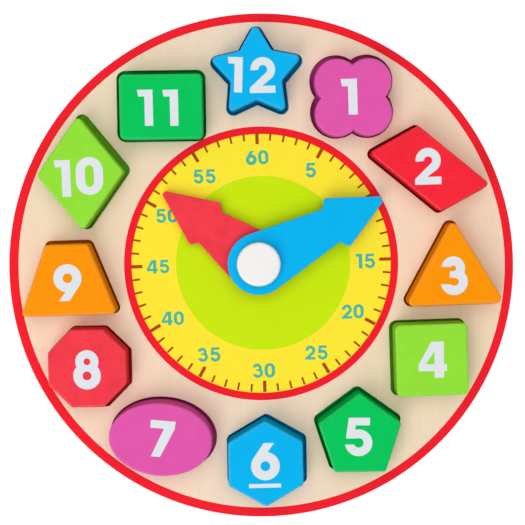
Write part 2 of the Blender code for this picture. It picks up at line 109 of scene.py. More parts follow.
def quatrefoil(grow, lobe_offset=0.0067, lobe_radius=0.00975):
    """Four round lobes on the diagonals. Each arc ends where it meets the next lobe's."""
    radius = lobe_radius + grow
    reach = np.degrees(np.arcsin(lobe_offset / radius))
    quarters = 90.0 * np.arange(4)[:, None]
    angles = quarters + np.linspace(-reach, 90.0 + reach, LOBE_STEPS + 1)[:-1]
    centres = on_circle(np.sqrt(2.0) * lobe_offset, quarters + 45.0)
    return (centres + on_circle(radius, angles)).reshape(-1, 2)


def parallelogram(grow, long_side=0.0398, short_side=0.0241, lean=(-40.3, 27.5)):
    """Half of each side's run, added and taken away, gives the corners."""
    along = on_circle(long_side / 2.0, lean[0])
    up = on_circle(short_side / 2.0, lean[1])
    return rounded([-along - up, along - up, along + up, up - along], MEDIUM_CORNER, grow)


def triangle(grow, side=0.0430):
    """Equal sides, point up: the corners lie on a circle of the side over the root of three."""
    return rounded(regular(3, side / np.sqrt(3.0), 90.0), SOFT_CORNER, grow)


def square(grow, side=0.0310):
    """Equal sides, upright."""
    return rounded(box_corners(side, side), SOFT_CORNER, grow)


def pentagon(grow, radius=0.0189):
    """Regular, point up, its corners on a circle."""
    return rounded(regular(5, radius, 90.0), CRISP_CORNER, grow)


def hexagon(grow, radius=0.0187):
    """Regular, point up, its corners on a circle."""
    return rounded(regular(6, radius, 90.0), CRISP_CORNER, grow)


def oval(grow, width=0.0447, height=0.0316):
    """Circle drawn out to half the width and half the height."""
    return circle(1.0) * (width / 2.0 + grow, height / 2.0 + grow)


def octagon(grow, flats=0.0336):
    """Regular, sides up and across, from the width over its flats."""
    return rounded(regular(8, flats / 2.0 / np.cos(np.radians(22.5)), 22.5), CRISP_CORNER, grow)


def trapezoid(grow, top=0.01836, bottom=0.0415, height=0.0305):
    """Level top and bottom with equal slopes between them."""
    corners = np.array([(-bottom, -height), (bottom, -height), (top, height), (-top, height)])
    return rounded(corners / 2.0, MEDIUM_CORNER, grow)


def rhombus(grow, width=0.0373, height=0.0492):
    """Corners at half the width to each side, and half the height up and down."""
    corners = np.array([(width, 0.0), (0.0, height), (-width, 0.0), (0.0, -height)])
    return rounded(corners / 2.0, MEDIUM_CORNER, grow)


def rectangle(grow, width=0.0354, height=0.0276):
    """Upright, wider than high."""
    return rounded(box_corners(width, height), SOFT_CORNER, grow)


def star(grow, tip_radius=0.0210, notch_radius=0.0115):
    """Five blunt tips with a notch half-way between each two, the first tip up."""
    radii = np.where(np.arange(10) % 2, notch_radius, tip_radius)
    return rounded(regular(10, 1.0, 90.0) * radii[:, None], MEDIUM_CORNER, grow)


# Each block: node, outline, paint, share of the block ring's radius, direction, own turn, and for
# its cut-out, as shares of the clearance, the room all round and its shift to the right and up.
BLOCKS = [
    ("block_1_quatrefoil", quatrefoil, "pink", 0.987, 60.4, 0.0, 1.5, (-0.15, 1.1)),
    ("block_2_parallelogram", parallelogram, "red", 0.997, 29.4, 0.0, 1.0, (-0.1, 0.0)),
    ("block_3_triangle", triangle, "orange", 0.985, -3.5, 0.7, 1.0, (0.1, 0.0)),
    ("block_4_square", square, "light_green", 0.990, -29.5, 0.6, 1.0, (-0.5, 0.0)),
    ("block_5_pentagon", pentagon, "green", 1.000, -61.0, -0.7, 1.25, (-0.3, 0.4)),
    ("block_6_hexagon", hexagon, "blue", 1.003, -90.1, -0.3, 1.2, (0.6, 0.1)),
    ("block_7_oval", oval, "pink", 1.018, -121.9, -6.0, 1.0, (0.6, 0.1)),
    ("block_8_octagon", octagon, "light_red", 1.026, -151.6, -0.4, 1.0, (0.35, -0.5)),
    ("block_9_trapezoid", trapezoid, "orange", 0.989, -178.1, 0.5, 1.0, (-0.15, 0.35)),
    ("block_10_rhombus", rhombus, "light_green", 1.039, 150.8, 1.1, 1.4, (0.5, 0.9)),
    ("block_11_rectangle", rectangle, "green", 0.9666, 120.3, -0.6, 1.55, (-0.6, 1.04)),
    ("block_12_star", star, "blue", 0.996, 90.1, 0.0, 1.45, (0.2, 0.0)),
]


def placed(points, centre, turn):
    """Points turned about the origin and moved to the centre."""
    cosine, sine = np.cos(np.radians(turn)), np.sin(np.radians(turn))
    return points @ np.array([(cosine, sine), (-sine, cosine)]) + centre


def block_centre(ring_share, direction):
    """Middle of a block, in that direction from the board's centre."""
    return on_circle(ring_share * BLOCK_RING_RADIUS, direction)


# Boards. The body is two discs of birch plywood glued face to face: a thin backing board, and a
# face board that the blocks' places are routed through. Both are sanded and lacquered.

BOARD_RADIUS = 0.110
BOARD_STEPS = 256
BOARD_EDGE_ROUNDING = 0.0008
CUT_OUT_EDGE_ROUNDING = 0.00025
EDGE_STEPS = 5
SHARP_ANGLE = 35.0
MERGE_DISTANCE = 0.000001
MILLIMETRES_IN_METRE = 1000.0
FILL_TOLERANCE = 0.00001
PIVOT = np.array([-0.0010, 0.0020])
BORE_RADIUS = 0.0023
COUNTERSINK_RADIUS = 0.0043
COUNTERSINK_RIM_DEPTH = 0.0009
COUNTERSINK_DEPTH = 0.0026
BACKING_PLIES = 3
FACE_PLIES = 5
WOOD_LIGHT = (245, 221, 196)
WOOD_DARK = (239, 213, 186)
PLY_LIGHT = (226, 201, 163)
PLY_DARK = (184, 143, 98)
GLUE_LINE = (150, 108, 70)


def linear(screen):
    """Screen colour, 0 to 255, as linear light with an alpha of one."""
    share = np.array(screen) / 255.0
    light = np.where(share <= 0.04045, share / 12.92, ((share + 0.055) / 1.055) ** 2.4)
    return (*light.tolist(), 1.0)


def node(tree, kind, values=None, **settings):
    """New node with its settings, and its inputs as constants or as links from other sockets."""
    made = tree.nodes.new(kind)
    for name, value in settings.items():
        setattr(made, name, value)
    for name, value in (values or {}).items():
        if isinstance(value, bpy.types.NodeSocket):
            tree.links.new(value, made.inputs[name])
        else:
            made.inputs[name].default_value = value
    return made


def sum_of(tree, operation, *terms):
    """Result of one sum, product or other step of arithmetic."""
    return node(tree, "ShaderNodeMath", dict(enumerate(terms)), operation=operation).outputs[0]


def mixed(tree, factor, first, second):
    """Mix of two colours."""
    values = {0: factor, 6: first, 7: second}
    return node(tree, "ShaderNodeMix", values, data_type="RGBA").outputs[2]


def noise(tree, place, scale, detail=2.0, roughness=0.5):
    """Cloudy value from 0 to 1, with that many clouds to a metre."""
    values = {"Vector": place, "Scale": scale, "Detail": detail, "Roughness": roughness}
    return node(tree, "ShaderNodeTexNoise", values).outputs[0]


def spread(tree, value, low, high):
    """Value stretched so that low becomes 0 and high becomes 1."""
    values = {"Value": value, "From Min": low, "From Max": high}
    return node(tree, "ShaderNodeMapRange", values).outputs[0]


def new_group(name, inputs):
    """Node group that gives a colour, a roughness and a height. Returns its tree and its input."""
    tree = bpy.data.node_groups.new(name, "ShaderNodeTree")
    for socket_name, kind in inputs.items():
        tree.interface.new_socket(socket_name, in_out="INPUT", socket_type="NodeSocket" + kind)
    for socket_name, kind in {"Color": "Color", "Roughness": "Float", "Height": "Float"}.items():
        tree.interface.new_socket(socket_name, in_out="OUTPUT", socket_type="NodeSocket" + kind)
    return tree, tree.nodes.new("NodeGroupInput").outputs


def give(tree, **values):
    """Send the values out of the group."""
    node(tree, "NodeGroupOutput", values)


def make_grain():
    """Plain birch veneer: faint streaks drawn out along Y, and a broad, slow change of tone."""
    tree, given = new_group("birch_grain", {"Light": "Color", "Dark": "Color"})
    place = node(tree, "ShaderNodeTexCoord").outputs["Object"]
    stretch = {"Vector": place, "Scale": (1.0, 0.045, 1.0)}
    drawn_out = node(tree, "ShaderNodeMapping", stretch).outputs[0]
    streaks = noise(tree, drawn_out, 420.0, detail=5.0, roughness=0.6)
    fibres = noise(tree, drawn_out, 1900.0)
    tone = noise(tree, place, 14.0)
    darker = spread(tree, sum_of(tree, "ADD", streaks, tone), low=0.65, high=1.35)
    color = mixed(tree, darker, given["Light"], given["Dark"])
    roughness = sum_of(tree, "MULTIPLY_ADD", streaks, 0.12, 0.46)
    give(tree, Color=color, Roughness=roughness, Height=sum_of(tree, "ADD", streaks, fibres))
    return tree


def make_plies():
    """Sawn edge of plywood: plies of even thickness, light and dark by turns, with glue between."""
    sizes = {"Bottom": "Float", "Ply": "Float"}
    colors = {"Light": "Color", "Dark": "Color", "Glue": "Color"}
    tree, given = new_group("plywood_edge", {**sizes, **colors})
    place = node(tree, "ShaderNodeTexCoord").outputs["Object"]
    height = node(tree, "ShaderNodeSeparateXYZ", {0: place}).outputs["Z"]
    above = sum_of(tree, "SUBTRACT", height, given["Bottom"])
    layer = sum_of(tree, "DIVIDE", above, given["Ply"])
    other = sum_of(tree, "MODULO", sum_of(tree, "FLOOR", layer), 2.0)
    from_seam = sum_of(tree, "PINGPONG", layer, 0.5)
    glue = spread(tree, from_seam, low=0.07, high=0.02)
    fibres = noise(tree, place, 900.0, detail=4.0, roughness=0.6)
    mottled = sum_of(tree, "MULTIPLY_ADD", fibres, 0.5, -0.25)
    wood = mixed(tree, mottled, given["Light"], given["Dark"])
    wood = mixed(tree, sum_of(tree, "MULTIPLY", other, 0.55), wood, given["Dark"])
    color = mixed(tree, sum_of(tree, "MULTIPLY", glue, 0.6), wood, given["Glue"])
    roughness = sum_of(tree, "MULTIPLY_ADD", other, 0.1, 0.55)
    give(tree, Color=color, Roughness=roughness, Height=sum_of(tree, "SUBTRACT", fibres, glue))
    return tree


def material_from(name, group, bump_strength, bump_depth, specular=0.5, **values):
    """Material that takes its colour, roughness and bump from the group with those values."""
    material = bpy.data.materials.new(name)
    material.use_nodes = True
    tree = material.node_tree
    shader = tree.nodes["Principled BSDF"]
    shader.inputs["Specular IOR Level"].default_value = specular
    look = node(tree, "ShaderNodeGroup", values, node_tree=group).outputs
    bumps = {"Height": look["Height"], "Strength": bump_strength, "Distance": bump_depth}
    tree.links.new(look["Color"], shader.inputs["Base Color"])
    tree.links.new(look["Roughness"], shader.inputs["Roughness"])
    tree.links.new(node(tree, "ShaderNodeBump", bumps).outputs[0], shader.inputs["Normal"])
    return material


grain, plies = make_grain(), make_plies()
bare_wood = material_from(
    "bare_wood", grain, bump_strength=0.12, bump_depth=0.00005, specular=0.15,
    Light=linear(WOOD_LIGHT), Dark=linear(WOOD_DARK),
)


def ply_edge(name, bottom, top, count):
    """Edge material of a board with that many plies."""
    colors = {"Light": linear(PLY_LIGHT), "Dark": linear(PLY_DARK), "Glue": linear(GLUE_LINE)}
    ply = (top - bottom) / count
    return material_from(
        name, plies, bump_strength=0.25, bump_depth=0.0001, specular=0.15,
        Bottom=bottom, Ply=ply, **colors,
    )


def swept(outline, profile):
    """Wall round an outline: the outline grown and lifted by each (grow, height) of the profile."""
    rings = [outline(grow) for grow, _ in profile]
    count = len(rings[0])
    heights = np.repeat([height for _, height in profile], count)
    points = np.column_stack([np.concatenate(rings), heights])
    here = np.arange(count)
    after = (here + 1) % count
    level = count * np.arange(len(profile) - 1)[:, None]
    quads = [level + here, level + after, level + count + after, level + count + here]
    return points, [np.stack(quads, axis=-1).reshape(-1, 4)]


def edge_arc(rounding, height, grow=-1.0, upper=True, steps=EDGE_STEPS):
    """Profile of a rounded edge, a quarter circle from the wall to the flat face.

    A solid's edge turns inward, with grow -1, and a hole's outward, with grow 1. A lower edge is
    the same upside down, and runs from the flat face to the wall.
    """
    angles = np.radians(np.linspace(0.0, 90.0, steps + 1))
    drop = rounding * (1.0 - np.sin(angles))
    arc = np.column_stack([grow * rounding * (1.0 - np.cos(angles)), height - drop])
    if upper:
        return arc
    return np.column_stack([arc[:, 0], height + drop])[::-1]


def fill(solids, holes=()):
    """Triangles that cover the solid outlines together, except where a hole's outline lies.

    It is a constrained Delaunay triangulation, in millimetres, that names for each triangle the
    outlines it is inside.
    """
    loops = [*solids, *holes]
    ends = np.cumsum([len(loop) for loop in loops])
    rings = [list(range(end - len(loop), end)) for loop, end in zip(loops, ends)]
    corners = (np.concatenate(loops) * MILLIMETRES_IN_METRE).tolist()
    filled = geometry.delaunay_2d_cdt(corners, [], rings, 1, FILL_TOLERANCE)
    points, _, triangles, _, _, inside = filled
    kept = [face for face, own in zip(triangles, inside) if own and max(own) < len(solids)]
    used, kept = np.unique(kept, return_inverse=True)
    return np.array(points)[used] / MILLIMETRES_IN_METRE, kept.reshape(-1, 3)


def flat(solids, holes, height):
    """Flat face at that height."""
    points, triangles = fill(solids, holes)
    return np.column_stack([points, np.full(len(points), height)]), [triangles]


def slab(solids, holes, bottom, top):
    """Closed flat body: a face below, the same above, and a wall along each open edge."""
    points, triangles = fill(solids, holes)
    count = len(points)
    edges = triangles[:, [0, 1, 1, 2, 2, 0]].reshape(-1, 2)
    there, back = edges @ (count, 1), edges @ (1, count)
    first, last = edges[~np.isin(there, back)].T
    walls = np.column_stack([first, last, last + count, first + count])
    heights = np.repeat([bottom, top], count)
    vertices = np.column_stack([np.tile(points, (2, 1)), heights])
    return vertices, [triangles[:, ::-1], triangles + count, walls]


def make_piece(name, parts, materials, body):
    """Object from parts, each with its points, its faces and the number of its material.

    Points that lie together are merged, which closes the seams, and the faces are turned outward.
    Normals are smooth except across sharp edges, and flat faces stay flat up to their rounding.
    """
    vertices, faces, wears = [], [], []
    for points, arrays, number in parts:
        start = sum(map(len, vertices))
        vertices.append(points)
        for array in arrays:
            faces += (array + start).tolist()
            wears += [number] * len(array)
    mesh = bpy.data.meshes.new(name)
    mesh.from_pydata(np.concatenate(vertices).tolist(), [], faces)
    mesh.polygons.foreach_set("material_index", wears)
    builder = bmesh.new()
    builder.from_mesh(mesh)
    bmesh.ops.remove_doubles(builder, verts=builder.verts, dist=MERGE_DISTANCE)
    bmesh.ops.recalc_face_normals(builder, faces=builder.faces)
    builder.to_mesh(mesh)
    builder.free()
    mesh.shade_smooth()
    mesh.set_sharp_from_angle(angle=np.radians(SHARP_ANGLE))
    for material in materials:
        mesh.materials.append(material)
    piece = bpy.data.objects.new(name, mesh)
    bpy.context.scene.collection.objects.link(piece)
    piece.modifiers.new("flat_faces", "WEIGHTED_NORMAL").keep_sharp = True
    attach(piece, body)
    return piece


def heights_of(cad_node):
    """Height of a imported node's underside and top."""
    low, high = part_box(cad_node)
    return low.z, high.z


def rim(grow):
    """Outline of both boards."""
    return circle(BOARD_RADIUS + grow, steps=BOARD_STEPS)


def bore(grow):
    """Outline of the bolt's hole, through boards and hands."""
    return circle(BORE_RADIUS + grow, PIVOT)


def cut_out(block):
    """Outline of a block's place in the board, as a function of how far it grows."""
    _, outline, _, ring_share, direction, turn, room, shift = block
    centre = block_centre(ring_share, direction) + np.array(shift) * BLOCK_CLEARANCE
    return lambda grow: placed(outline(room * BLOCK_CLEARANCE + grow), centre, turn)


backing_bottom, backing_top = heights_of("backing_board")
rim_profile = [*edge_arc(BOARD_EDGE_ROUNDING, backing_bottom, upper=False), (0.0, backing_top)]
mouth = COUNTERSINK_RADIUS - BORE_RADIUS
bore_profile = [
    (mouth, backing_bottom),
    (mouth, backing_bottom + COUNTERSINK_RIM_DEPTH),
    (0.0, backing_bottom + COUNTERSINK_DEPTH),
    (0.0, backing_top),
]
backing = make_piece(
    "backing_plywood",
    [
        (*swept(rim, rim_profile), 1),
        (*swept(bore, bore_profile), 1),
        (*flat([rim(-BOARD_EDGE_ROUNDING)], [bore(mouth)], backing_bottom), 0),
        (*flat([rim(0.0)], [bore(0.0)], backing_top), 0),
    ],
    [bare_wood, ply_edge("backing_plies", backing_bottom, backing_top, BACKING_PLIES)],
    "base",
)
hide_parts("backing_board")

# Paint. The blocks, the hands and the blocks' places in the board are sprayed with satin toy
# paint, thin enough to let the wood's pores roughen it a little. The reds cover unevenly. On the
# rounded edges the paint shines most, and the sawn sides stay matte. The sides' copy of each
# paint, also used on the cut-outs' walls and floors, is painted darker as painted shade.

# Each paint: its colour on a screen, and how much darker its thin places are.
PAINTS = {
    "pink": ((227, 88, 174), 0.03),
    "red": ((253, 40, 58), 0.06),
    "orange": ((255, 150, 0), 0.02),
    "light_green": ((148, 228, 56), 0.03),
    "green": ((0, 200, 92), 0.03),
    "blue": ((0, 181, 241), 0.02),
    "light_red": ((253, 62, 78), 0.09),
}
THIN_SPOT_DEPTH = 2.2
PAINT_BUMP_DEPTH = 0.00006
PAINT_FILM = 0.00003


def make_coating():
    """Thin colour on wood: cloudy where it was sprayed thinner, with fine pores under it."""
    tree, given = new_group("coating", {"Full": "Color", "Thin": "Color", "Dull": "Float"})
    place = node(tree, "ShaderNodeTexCoord").outputs["Object"]
    clouds = noise(tree, place, 110.0, detail=4.0, roughness=0.6)
    specks = noise(tree, place, 1400.0)
    amount = sum_of(tree, "MULTIPLY_ADD", specks, 0.35, clouds)
    thinner = spread(tree, amount, low=0.47, high=0.9)
    color = mixed(tree, thinner, given["Full"], given["Thin"])
    roughness = sum_of(tree, "MULTIPLY_ADD", clouds, 0.14, given["Dull"])
    give(tree, Color=color, Roughness=roughness, Height=sum_of(tree, "ADD", clouds, specks))
    return tree


coating = make_coating()


def coat(name, screen, unevenness, dull=0.25, bump_strength=0.10, specular=0.06, light=1.0):
    """Paint or ink of that screen colour times the light share, its thin places darker by the
    unevenness. A light share below one darkens the whole colour as painted shade.
    """
    full = np.array(linear(screen)) * (*[light] * 3, 1.0)
    thin = full * (*[1.0 - unevenness * THIN_SPOT_DEPTH] * 3, 1.0)
    colors = {"Full": full.tolist(), "Thin": thin.tolist(), "Dull": dull}
    return material_from(name, coating, bump_strength, PAINT_BUMP_DEPTH, specular, **colors)


paints = {hue: coat(hue + "_paint", *values) for hue, values in PAINTS.items()}
edges = {hue: coat(hue + "_edge", *values, specular=0.3) for hue, values in PAINTS.items()}
# Sawn sides: matte, with the colour painted at 0.85 of the paint's as painted shade.
sides = {
    hue: coat(hue + "_side", *values, dull=0.7, bump_strength=0.3, specular=0.0, light=0.85)
    for hue, values in PAINTS.items()
}
paint_numbers = {hue: number for number, hue in enumerate(paints)}
# Films of paint on the cut-outs' floors, in the side copies, which carry painted shade.
recess_floors = []
for block in BLOCKS:
    floor_outline = cut_out(block)(0.0)
    film = slab([floor_outline], [], backing_top, backing_top + PAINT_FILM)
    recess_floors.append((*film, paint_numbers[block[2]]))
make_piece("recess_floor_paint", recess_floors, list(sides.values()), "base")

# Face board: the upper disc of plywood, glued on the backing board. Each cut-out has a painted
# wall, in the side copy of its block's paint that carries painted shade, and the edges of the
# cut-outs and of the rim are broken with sandpaper.

face_bottom, face_top = heights_of("face_board")
face_parts = [
    (*swept(rim, [(0.0, face_bottom), *edge_arc(BOARD_EDGE_ROUNDING, face_top)]), 1),
    (*swept(bore, [(0.0, face_bottom), (0.0, face_top)]), 1),
]
lower_holes, upper_holes = [bore(0.0)], [bore(0.0)]
for block in BLOCKS:
    wall = cut_out(block)
    arc = edge_arc(CUT_OUT_EDGE_ROUNDING, face_top, grow=1.0)
    # The cut-out's wall gets the side copy of the paint, darkened as painted shade.
    face_parts.append((*swept(wall, [(0.0, face_bottom), arc[0]]), 2 + paint_numbers[block[2]]))
    face_parts.append((*swept(wall, arc), 0))
    lower_holes.append(wall(0.0))
    upper_holes.append(wall(CUT_OUT_EDGE_ROUNDING))
face_parts.append((*flat([rim(0.0)], lower_holes, face_bottom), 0))
face_parts.append((*flat([rim(-BOARD_EDGE_ROUNDING)], upper_holes, face_top), 0))
face = make_piece(
    "face_plywood",
    face_parts,
    [bare_wood, ply_edge("face_plies", face_bottom, face_top, FACE_PLIES), *sides.values()],
    "base",
)
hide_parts("face_board")

# Printing on the board: opaque ink, screen-printed in flat colours, one over the other. A red
# ring runs round the rim and over its rounding, and the dial is printed round the pivot's hole.

INK = 0.00003
RIM_RING_INNER_RADIUS = 0.10607
RIM_RING_CENTRE = (0.0002, 0.0002)
RIM_RING_LOWEST_ANGLE = 20.0
DIAL_CENTRE = (0.0, 0.0015)
DIAL_RADIUS = 0.05651
DIAL_RING_OUTER_RADIUS = 0.05979
GREEN_DISC_CENTRE = (0.00083, 0.00185)
GREEN_DISC_RADIUS = 0.03795

# Each ink: its colour on a screen, how much darker its thin places are, its bumps' strength.
INKS = {
    "red": ((246, 29, 45), 0.02, 0.04),
    "yellow": ((255, 233, 54), 0.01, 0.04),
    "green": ((202, 234, 12), 0.01, 0.04),
    "brown": ((175, 68, 0), 0.02, 0.04),
    "teal": ((78, 186, 162), 0.02, 0.04),
    "white": ((226, 231, 236), 0.015, 0.05),
}

inks = {
    hue: coat(hue + "_ink", screen, unevenness, dull=0.42, bump_strength=bumps)
    for hue, (screen, unevenness, bumps) in INKS.items()
}


def printed(name, solids, holes, layer, material, body="base", base=face_top):
    """Flat print, layers of ink above the surface that it is printed on."""
    film = slab(solids, holes, base + layer * INK, base + (layer + 1) * INK)
    return make_piece(name, [(*film, 0)], [material], body)


ring_angles = np.radians(np.linspace(90.0, RIM_RING_LOWEST_ANGLE, EDGE_STEPS + 1))


def over_rounding(offset):
    """Profile over the board's rounded edge, that far above it, from the flat face outward."""
    radius = BOARD_EDGE_ROUNDING + offset
    grow = radius * np.cos(ring_angles) - BOARD_EDGE_ROUNDING
    return np.column_stack([grow, face_top - BOARD_EDGE_ROUNDING + radius * np.sin(ring_angles)])


ring_inner = circle(RIM_RING_INNER_RADIUS, RIM_RING_CENTRE, BOARD_STEPS)
ring_flat_edge = rim(-BOARD_EDGE_ROUNDING)
make_piece(
    "rim_ring_print",
    [
        (*swept(rim, [*over_rounding(0.0), *over_rounding(INK)[::-1]]), 0),
        (*swept(lambda grow: ring_inner, [(0.0, face_top), (0.0, face_top + INK)]), 0),
        (*flat([ring_flat_edge], [ring_inner], face_top), 0),
        (*flat([ring_flat_edge], [ring_inner], face_top + INK), 0),
    ],
    [inks["red"]],
    "base",
)
dial_hole = [bore(0.0)]
dial_edge = circle(DIAL_RADIUS, DIAL_CENTRE, BOARD_STEPS)
dial_ring_edge = circle(DIAL_RING_OUTER_RADIUS, DIAL_CENTRE, BOARD_STEPS)
green_edge = circle(GREEN_DISC_RADIUS, GREEN_DISC_CENTRE, BOARD_STEPS)
printed("dial_yellow_print", [dial_edge], dial_hole, 0, inks["yellow"])
printed("dial_ring_print", [dial_ring_edge], [dial_edge], 0, inks["red"])
printed("dial_green_print", [green_edge], dial_hole, 1, inks["green"])

# Minute marks: sixty short bars in brown ink that run inward from the dial's red ring. Every
# fifth one is longer and wider. Their circle isn't quite concentric with the ring, as printed.

MARKS_CENTRE = (-0.0001, 0.0020)
MARKS_TURN = 0.39
MARKS_RADIUS = 0.0567
LONG_MARK = (0.0050, 0.00145)
SHORT_MARK = (0.0034, 0.00088)
MINUTES = 60
MINUTE_ANGLE = 6.0


def minute_mark(number):
    """Bar that runs inward from the ring at that minute."""
    length, width = SHORT_MARK if number % 5 else LONG_MARK
    bar = box_corners(length, width) + (MARKS_RADIUS - length / 2.0, 0.0)
    return placed(bar, MARKS_CENTRE, MARKS_TURN + 90.0 - MINUTE_ANGLE * number)


marks = [minute_mark(number) for number in range(MINUTES)]
printed("minute_marks_print", marks, [], 1, inks["brown"])

# Figures: a bold, round, plain alphabet of numbers, built up from bars, discs and counters in
# shares of its height. The same forms are printed thinner on the dial and bold on the blocks.


def ellipse(centre, radii, first=0.0, last=360.0, steps=48):
    """Part of an ellipse, counter-clockwise, as a closed outline."""
    angles = np.linspace(first, last, steps, endpoint=last - first < 360.0)
    return np.array(centre) + on_circle(1.0, angles) * radii


def rectangle_between(left, bottom, right, top):
    """Rectangle from its lower left corner to its upper right one."""
    return np.array([(left, bottom), (right, bottom), (right, top), (left, top)])


def ellipse_point(centre, radii, direction):
    """Point where an ellipse is reached at that angle of its circle."""
    return np.array(centre) + on_circle(1.0, direction) * radii


def figure_0(stroke):
    """Two half rounds with straight sides between them."""
    inner = (0.36 - 1.1 * stroke, 0.36 - 0.95 * stroke)
    outlines = []
    for radii in ((0.36, 0.36), inner):
        upper = ellipse((0.36, 0.64), radii, 0.0, 180.0)
        lower = ellipse((0.36, 0.36), radii, 180.0, 359.99)
        outlines.append(np.concatenate([upper, lower]))
    return [outlines[0]], [outlines[1]], 0.72


def figure_1(stroke):
    """Upright bar with a flag to the left at its top."""
    width, flag = 0.2 + 1.18 * stroke, 1.0 - 0.95 * stroke
    corners = [(0.03, flag), (0.2, flag), (0.2, 0.0), (width, 0.0), (width, 1.0), (0.0, 1.0)]
    return [np.array(corners)], [], width


def figure_2(stroke):
    """Arch that runs straight down to the left into a bar."""
    centre, outer, inner, bar = (0.37, 0.655), 0.345, 0.345 - stroke, 0.9 * stroke
    arch = ellipse(centre, (outer, outer), -48.0, 184.0)
    inside = ellipse(centre, (inner, inner), -48.0, 184.0)[::-1]
    turn_in = inside[-1]
    foot = [
        (0.0, 0.0),
        (0.72, 0.0),
        (0.72, bar),
        (0.60 - 1.13 * stroke, bar),
        arch[0],
        turn_in,
        (0.0, turn_in[1] - 0.929 * turn_in[0]),
    ]
    return [np.concatenate([arch, inside]), np.array(foot)], [], 0.72


def figure_3(stroke):
    """Two rounds, the lower one larger, opened to the left, with a short bar between them."""
    upper, lower = (0.305, 0.69), (0.341, 0.345)
    upper_inner = (0.305 - 0.96 * stroke, 0.31 - stroke)
    lower_inner = (0.349 - 0.96 * stroke, 0.345 - 1.02 * stroke)
    bar_top, bar_bottom = upper[1] - upper_inner[1], lower[1] + lower_inner[1]
    solids = [ellipse(upper, (0.305, 0.31)), ellipse(lower, (0.349, 0.345))]
    holes = [
        ellipse(upper, upper_inner),
        ellipse(lower, lower_inner),
        rectangle_between(-0.1, 0.276, 0.22, 0.724),
        rectangle_between(0.2, bar_top, upper[0], 0.724),
        rectangle_between(0.2, 0.276, lower[0], bar_bottom),
    ]
    return solids, holes, 0.69


def figure_4(stroke):
    """Upright bar, cross bar and slope, with a three-cornered counter."""
    left, top = 0.70 - 1.18 * stroke, 0.182 + 0.9 * stroke
    slope_left = max(0.0, top - 0.36) / 1.778 + 0.92 * stroke
    outer = [(0.0, 0.182), (0.70, 0.182), (0.70, 1.0), (0.36, 1.0), (0.0, 0.36)]
    solids = [
        np.array(outer),
        rectangle_between(left, 0.0, 0.70, 1.0),
        rectangle_between(0.1, 0.182, 0.784, top),
    ]
    counter = [(slope_left, top), (left, top), (left, top + 1.56 * (left - slope_left))]
    return solids, [np.array(counter)], 0.784


def figure_5(stroke):
    """Flat bar on top, a short stem at its left, and a round below that is open to the left."""
    centre, outer = (0.402, 0.346), (0.353, 0.35)
    inner = (0.353 - stroke, 0.35 - stroke)
    right = 0.12 + 0.85 * stroke
    stem = [(0.145, 1.0), (0.072, 0.46), (0.32, 0.46), (right, 0.68), (right + 0.04, 1.0)]
    solids = [
        ellipse(centre, outer),
        rectangle_between(0.145, 1.0 - 0.88 * stroke, 0.693, 1.0),
        np.array(stem),
    ]
    holes = [ellipse(centre, inner), rectangle_between(-0.1, 0.30, 0.37, 0.46)]
    return solids, holes, 0.755


def figure_6(stroke):
    """Round with a stem that leans from its upper left to the right."""
    centre, outer, inner = (0.382, 0.38), (0.382, 0.38), 0.382 - 1.18 * stroke
    touch = ellipse_point(centre, outer, 146.0)
    right = 0.339 + 1.31 * stroke
    stem = [(right, 1.0), (0.339, 1.0), touch, (0.2, 0.35), (0.4, 0.45), (right - 0.188, 0.74)]
    return [ellipse(centre, outer), np.array(stem)], [ellipse(centre, (inner, inner))], 0.764


def figure_7(stroke):
    """Flat bar on top, and a slope from its right end down to the left."""
    bar = 1.0 - 0.98 * stroke
    foot = [(0.075, 0.0), (0.075 + 1.13 * stroke, 0.0)]
    corners = [(0.0, bar), (0.376, bar), *foot, (0.663, bar), (0.683, 1.0), (0.0, 1.0)]
    return [np.array(corners)], [], 0.683


def figure_8(stroke):
    """Two rounds, the lower one larger, each with its own counter."""
    upper, lower = (0.351, 0.706), (0.351, 0.347)
    upper_inner, lower_inner = 0.294 - 0.97 * stroke, 0.349 - 1.1 * stroke
    solids = [ellipse(upper, (0.294, 0.294)), ellipse(lower, (0.349, 0.347))]
    holes = [ellipse(upper, (upper_inner,) * 2), ellipse(lower, (lower_inner,) * 2)]
    return solids, holes, 0.70


def figure_9(stroke):
    """A 6 turned half round."""
    solids, holes, width = figure_6(stroke)
    return [(width, 1.0) - part for part in solids], [(width, 1.0) - part for part in holes], width


FIGURES = [
    figure_0, figure_1, figure_2, figure_3, figure_4,
    figure_5, figure_6, figure_7, figure_8, figure_9,
]


def number_outlines(text, height, stroke, centre, turn=0.0, space=0.11):
    """Solid outlines and holes of a number that is centred on a point and turned there."""
    figures = [FIGURES[int(digit)](stroke) for digit in text]
    widths = [width for _, _, width in figures]
    starts = np.cumsum([0.0, *widths[:-1]]) + space * np.arange(len(text))
    middle = ((starts[-1] + widths[-1]) / 2.0, 0.5)
    solids, holes = [], []
    for start, (own_solids, own_holes, _) in zip(starts, figures):
        for loops, target in ((own_solids, solids), (own_holes, holes)):
            for loop in loops:
                target.append(placed((loop + (start, 0.0) - middle) * height, centre, turn))
    return solids, holes


# Minute numbers: teal ink on the yellow of the dial, at every fifth minute. They stand upright,
# inside the marks that they name.

MINUTE_NUMBER_STROKE = 0.205
# Each number: its place to the right and up, and its height, in millimetres, and its turn.
MINUTE_NUMBERS = {
    "60": (-0.65, 47.82, 6.2, 2.0),
    "5": (22.40, 41.81, 6.35, 0.2),
    "10": (40.70, 24.20, 6.1, 0.2),
    "15": (45.50, 1.69, 6.4, 0.2),
    "20": (39.50, -20.24, 6.2, 0.2),
    "25": (23.21, -37.88, 6.2, -0.8),
    "30": (0.09, -45.24, 6.4, 0.2),
    "35": (-23.73, -37.64, 6.3, 0.2),
    "40": (-39.21, -21.33, 6.0, 0.2),
    "45": (-45.01, 1.42, 5.9, 0.2),
    "50": (-40.66, 23.52, 6.1, 0.2),
    "55": (-23.85, 40.23, 6.1, 0.2),
}
MILLIMETRE = 0.001

